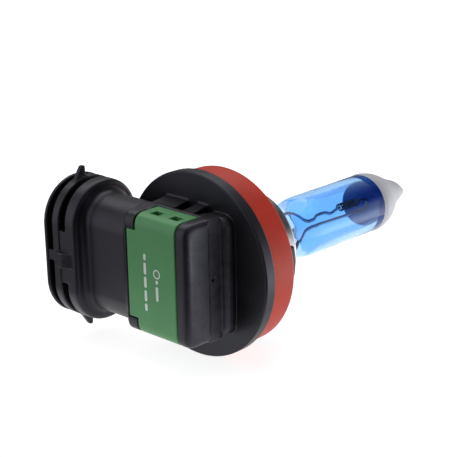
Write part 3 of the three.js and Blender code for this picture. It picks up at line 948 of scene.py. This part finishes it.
skin = refined(GLASS_OUTSIDE, 90)
sections = [(PINCH_REAR, 0, 0, 0, 2), (PINCH_REAR, 1.3, 4.35, 0, 4.5)]
sections += [glass_section(x, PINCH_HALF[1]) for x in PINCH_STATIONS]
sections += [glass_section(x, r) for x, r in skin if x > TUBE_START]
sections += [(TIP, 0, 0, beak(TIP), 2)]
shell = lofted("glass_skin", sections, GLASS_SIDES)
hollow = [GLASS_INSIDE[0]] + refined(GLASS_INSIDE, 60)[1:-1] + [GLASS_INSIDE[-1]]
cavity = lofted("glass_cavity", [(x, r, r, 0, 2) for x, r in hollow], 80, inward=True)
glass = joined("glass_bulb", shell, cavity)
finish(glass, GLASS, "blue_glass", "glass_envelope")

coat = [(COAT_START, GLASS_R)] + [(x, r) for x, r in skin if x > COAT_START + 0.2]
inner_rows = [(x, r - PAINT_SINK, r - PAINT_SINK, beak(x), 2) for x, r in coat]
outer_rows = []
for x, r in coat:
    skin_r = r + 0.02 + 0.12 * float(ramp01(x, COAT_START, COAT_START + 1.2))
    outer_rows.append((x + 0.05, skin_r, skin_r, beak(x), 2))
rows = [(TIP - PAINT_SINK, 0, 0, beak(TIP), 2)] + inner_rows[::-1]
rows += outer_rows + [(TIP + 0.19, 0, 0, beak(TIP), 2)]
paint = lofted("tip_paint", rows, GLASS_SIDES, weighted=False)
finish(paint, PAINT, "grey_paint", "tip_coating")
paint.data.materials.append(PAINT_INSIDE)
inside_faces = GLASS_SIDES * len(inner_rows)
for polygon in paint.data.polygons:
    if polygon.index < inside_faces:
        polygon.material_index = 1

coil_z = (COIL_LOW[2] + COIL_HIGH[2]) / 2
coil_x = (COIL_LOW[0] + 0.15, COIL_HIGH[0] - 0.15)
helix = []
for i in range(COIL_TURNS * COIL_STEPS + 1):
    t = i / (COIL_TURNS * COIL_STEPS)
    angle = 2 * math.pi * COIL_TURNS * t
    helix.append(Vector((
        coil_x[0] + (coil_x[1] - coil_x[0]) * t,
        COIL_R * math.cos(angle),
        coil_z + COIL_R * math.sin(angle))))
filament = wire("filament_coil", helix, COIL_WIRE, 8)
finish(filament, TUNGSTEN, "tungsten", "filament")

long_lead = wire("lead_long", smooth_path([
    (4.4, 0.1, -2.6), (9, 0.1, -2.6), (12.8, 0, -2.5), (14.6, 0, -1.7), (16.2, 0, -1.0),
    (19, 0, -0.85), (25, 0, -1.05), (30, 0, -1.2), (34.2, 0, -1.1), (35.2, 0, -0.3),
    (34.8, 0, 0.6), (33.5, 0, coil_z), (coil_x[1] + 0.2, 0, coil_z)], 120), LEAD_WIRE)
finish(long_lead, MOLYBDENUM, "molybdenum", "inner_lead_long")
short_lead = wire("lead_short", smooth_path([
    (4.4, 0.1, 2.6), (9, 0.1, 2.6), (12.8, 0, 2.5), (14.6, 0, 1.8), (16.4, 0, 0.6),
    (18.2, 0, 0.3), (20.2, 0, 0.85), (22.4, 0, 0.85), (24.2, 0, 0.35), (25.9, 0, 0.7),
    (coil_x[0] - 0.2, 0, coil_z)], 120), LEAD_WIRE)
finish(short_lead, MOLYBDENUM, "molybdenum", "inner_lead_short")

# ---- print on the cover -----------------------------------------------------
# Plain dashes, a dot and a ring on the cover's rear face. A row is its Y and its strokes' Z values.
PRINT_X = (REAR - 0.012, REAR + 0.02)
DASH_HALF = 0.28
DASHES = (
    (1.72, ((3.0, 4.1), (0.6, 2.6), (-1.7, 0.2), (-4.0, -2.1), (-5.7, -4.4))),
    (-0.95, ((-0.5, 0.2), (-3.4, -0.9))),
)
CIRCLE_MIDDLE = (-0.95, 1.2)
CIRCLE_R = (0.78, 0.78 - 0.2)
CIRCLE_SIDES = 40


def bar(points, faces, y, z0, z1):
    """Flat stroke with rounded ends, running along Z."""
    outline = []
    r = DASH_HALF
    for centre, start in ((z1 - r, 0), (z0 + r, math.pi)):
        for k in range(9):
            angle = start + math.pi * k / 8
            outline.append((y + r * math.cos(angle), centre + r * math.sin(angle)))
    add_plate(points, faces, outline)


def add_plate(points, faces, outline):
    """Thin printed plate from an outline in (y, z)."""
    base = len(points)
    n = len(outline)
    for x in PRINT_X:
        points.extend((x, y, z) for y, z in outline)
    faces.append([base + k for k in range(n)][::-1])
    faces.append([base + n + k for k in range(n)])
    for k in range(n):
        m = (k + 1) % n
        faces.append([base + k, base + m, base + n + m, base + n + k])


points, faces = [], []
for y, strokes in DASHES:
    for z0, z1 in strokes:
        bar(points, faces, y, z0, z1)
marks = make_object("cover_marks", points, faces, 30.0, False)
finish(marks, PRINT, "cover_plastic")

points, faces = [], []
n = CIRCLE_SIDES
for x in PRINT_X:
    for r in CIRCLE_R:
        for k in range(n):
            angle = 2 * math.pi * k / n
            points.append((
                x, CIRCLE_MIDDLE[0] + r * math.cos(angle), CIRCLE_MIDDLE[1] + r * math.sin(angle)))
for k in range(n):
    m = (k + 1) % n
    faces.append([k, n + k, n + m, m])
    faces.append([2 * n + k, 2 * n + m, 3 * n + m, 3 * n + k])
    faces.append([k, m, 2 * n + m, 2 * n + k])
    faces.append([n + k, 3 * n + k, 3 * n + m, n + m])
symbol = make_object("cover_symbol", points, faces, 30.0, False)
finish(symbol, PRINT, "cover_plastic")

# ---- stage, light and camera ------------------------------------------------
# Lengths from here on are metres, but for the camera's place. The floor is a pale ellipse with
# a weak even glow.
TABLE_GLOW = 0.85
TABLE_MIDDLE = (0.040, 0.038)
TABLE_HALF = (0.095, 0.055)
TABLE_TURN = math.radians(43.7)
TABLE_SIDES = 96
TABLE_Z = CAD_BOX[0].z - 0.00005
rim = []
for k in range(TABLE_SIDES):
    angle = 2 * math.pi * k / TABLE_SIDES
    along, across = TABLE_HALF[0] * math.cos(angle), TABLE_HALF[1] * math.sin(angle)
    rim.append((
        TABLE_MIDDLE[0] + along * math.cos(TABLE_TURN) - across * math.sin(TABLE_TURN),
        TABLE_MIDDLE[1] + along * math.sin(TABLE_TURN) + across * math.cos(TABLE_TURN), TABLE_Z))
floor_mesh = bpy.data.meshes.new("floor")
floor_mesh.from_pydata(rim, [], [list(range(TABLE_SIDES))])
floor = bpy.data.objects.new("floor", floor_mesh)
bpy.context.scene.collection.objects.link(floor)
floor_look = Look("light_table", Roughness=0.8, Specular_IOR_Level=0.2)
floor_cloud = floor_look.spread(floor_look.noise(0.01, 2.0), 0.3, 0.7, 0, 1)
floor_look.set("Base Color", floor_look.mix(
    floor_cloud, (0.50, 0.50, 0.50), (0.53, 0.53, 0.53)))
floor_look.shader.inputs["Emission Color"].default_value = (1.0, 1.0, 1.0, 1.0)
floor_look.shader.inputs["Emission Strength"].default_value = TABLE_GLOW
floor.data.materials.append(floor_look.material)

# The world is a soft studio: bright on the right, dim on the left, dark by the photo's camera.
SKY_BASE = 0.24
SKY_RIGHT = 3.4
SKY_LEFT = 1.1
SKY_DARK = 0.08
BACKDROP = 1.05
SKY_TINT = (0.99, 0.99, 1.02)
world = bpy.data.worlds.new("studio")
bpy.context.scene.world = world
world.use_nodes = True
sky = world.node_tree
backdrop = sky.nodes["Background"]
backdrop.inputs["Strength"].default_value = 1.0


def sky_node(kind, **settings):
    """New node in the world's tree."""
    made = sky.nodes.new(kind)
    for key, value in settings.items():
        setattr(made, key, value)
    return made


def sky_lobe(direction, start, end, low, high):
    """Value that goes from low to high as the view turns towards a direction."""
    dot = sky_node("ShaderNodeVectorMath", operation="DOT_PRODUCT")
    sky.links.new(compass.outputs["Generated"], dot.inputs[0])
    dot.inputs[1].default_value = Vector(direction).normalized()
    ramp = sky_node("ShaderNodeMapRange", interpolation_type="SMOOTHSTEP")
    ends = (("From Min", start), ("From Max", end), ("To Min", low), ("To Max", high))
    for key, number in ends:
        ramp.inputs[key].default_value = number
    sky.links.new(dot.outputs["Value"], ramp.inputs["Value"])
    return ramp.outputs["Result"]


def sky_maths(operation, a, b):
    """Sum, product or other result of two values."""
    made = sky_node("ShaderNodeMath", operation=operation)
    for socket, value in zip(made.inputs, (a, b)):
        if isinstance(value, (int, float)):
            socket.default_value = value
        else:
            sky.links.new(value, socket)
    return made.outputs[0]


compass = sky_node("ShaderNodeTexCoord")
right_side = sky_lobe((0.70, -0.66, -0.25), 0.5, 0.95, 0.0, SKY_RIGHT)
not_high = sky_lobe((0, 0, 1), 0.05, 0.38, 1.0, 0.0)
left_side = sky_lobe((-0.93, 0.30, 0.15), 0.5, 0.95, SKY_BASE, SKY_BASE + SKY_LEFT)
not_low = sky_lobe((0, 0, 1), -0.35, -0.05, 0.6, 1.0)
upper_right = sky_lobe((0.69, -0.66, 0.35), 0.75, 0.96, 1.0, 0.35)
camera_side = sky_lobe((-0.69, -0.72, -0.2), 0.35, 0.9, 1.0, SKY_DARK)
glow = sky_maths("MULTIPLY", right_side, not_high)
glow = sky_maths("ADD", glow, sky_maths("MULTIPLY", left_side, not_low))
glow = sky_maths("MULTIPLY", sky_maths("MULTIPLY", glow, upper_right), camera_side)

# Seen directly, or through the glass from behind the object, the world is a white backdrop.
rays = sky_node("ShaderNodeLightPath")
behind = sky_lobe((0.686, 0.656, -0.314), 0.2, 0.6, 0.0, 1.0)
through = sky_maths("MULTIPLY", rays.outputs["Is Transmission Ray"], behind)
seen = sky_maths("MAXIMUM", rays.outputs["Is Camera Ray"], through)
mixed = sky_node("ShaderNodeMix", data_type="FLOAT")
sky.links.new(seen, mixed.inputs[0])
sky.links.new(glow, mixed.inputs[2])
mixed.inputs[3].default_value = BACKDROP
tint = sky_node("ShaderNodeVectorMath", operation="SCALE")
tint.inputs[0].default_value = SKY_TINT
sky.links.new(mixed.outputs[0], tint.inputs["Scale"])
sky.links.new(tint.outputs[0], backdrop.inputs["Color"])


SOFTBOX_PLACE = Vector((0.08, 0.15, 0.42))
SOFTBOX_SIZE = 0.5
SOFTBOX_WATTS = 1.5
lamp = bpy.data.lights.new("softbox_top", "AREA")
lamp.shape = "RECTANGLE"
lamp.size, lamp.size_y = SOFTBOX_SIZE, SOFTBOX_SIZE
lamp.energy = SOFTBOX_WATTS
rig = bpy.data.objects.new("softbox_top", lamp)
bpy.context.scene.collection.objects.link(rig)
rig.location = SOFTBOX_PLACE
rig.rotation_mode = "QUATERNION"
rig.rotation_quaternion = (-SOFTBOX_PLACE).to_track_quat("-Z", "Y")

# The camera stands at the photo's viewing angle: its place in millimetres and its three axes.
SENSOR = 36.0
IMAGE_WIDTH = 457
FOCAL_IN_PIXELS = 1296.723
CAMERA_PLACE = Vector((-151.169232, -142.384192, 72.488296))
CAMERA_RIGHT = Vector((0.68684466, -0.72660751, -0.01690975))
CAMERA_UP = Vector((0.23956203, 0.20436394, 0.94912876))
CAMERA_AHEAD = Vector((0.68618834, 0.65595496, -0.31443386))
camera_data = bpy.data.cameras.new("camera")
camera_data.sensor_width = SENSOR
camera_data.sensor_fit = "HORIZONTAL"
camera_data.lens = SENSOR * FOCAL_IN_PIXELS / IMAGE_WIDTH
camera_data.clip_start, camera_data.clip_end = 0.01, 20.0
camera = bpy.data.objects.new("camera", camera_data)
bpy.context.scene.collection.objects.link(camera)
turned = Matrix((CAMERA_RIGHT, CAMERA_UP, -CAMERA_AHEAD)).transposed().to_4x4()
camera.matrix_world = Matrix.Translation(CAMERA_PLACE * MM) @ turned
bpy.context.scene.camera = camera
bpy.context.scene.view_settings.view_transform = "Standard"

bpy.context.view_layer.update()
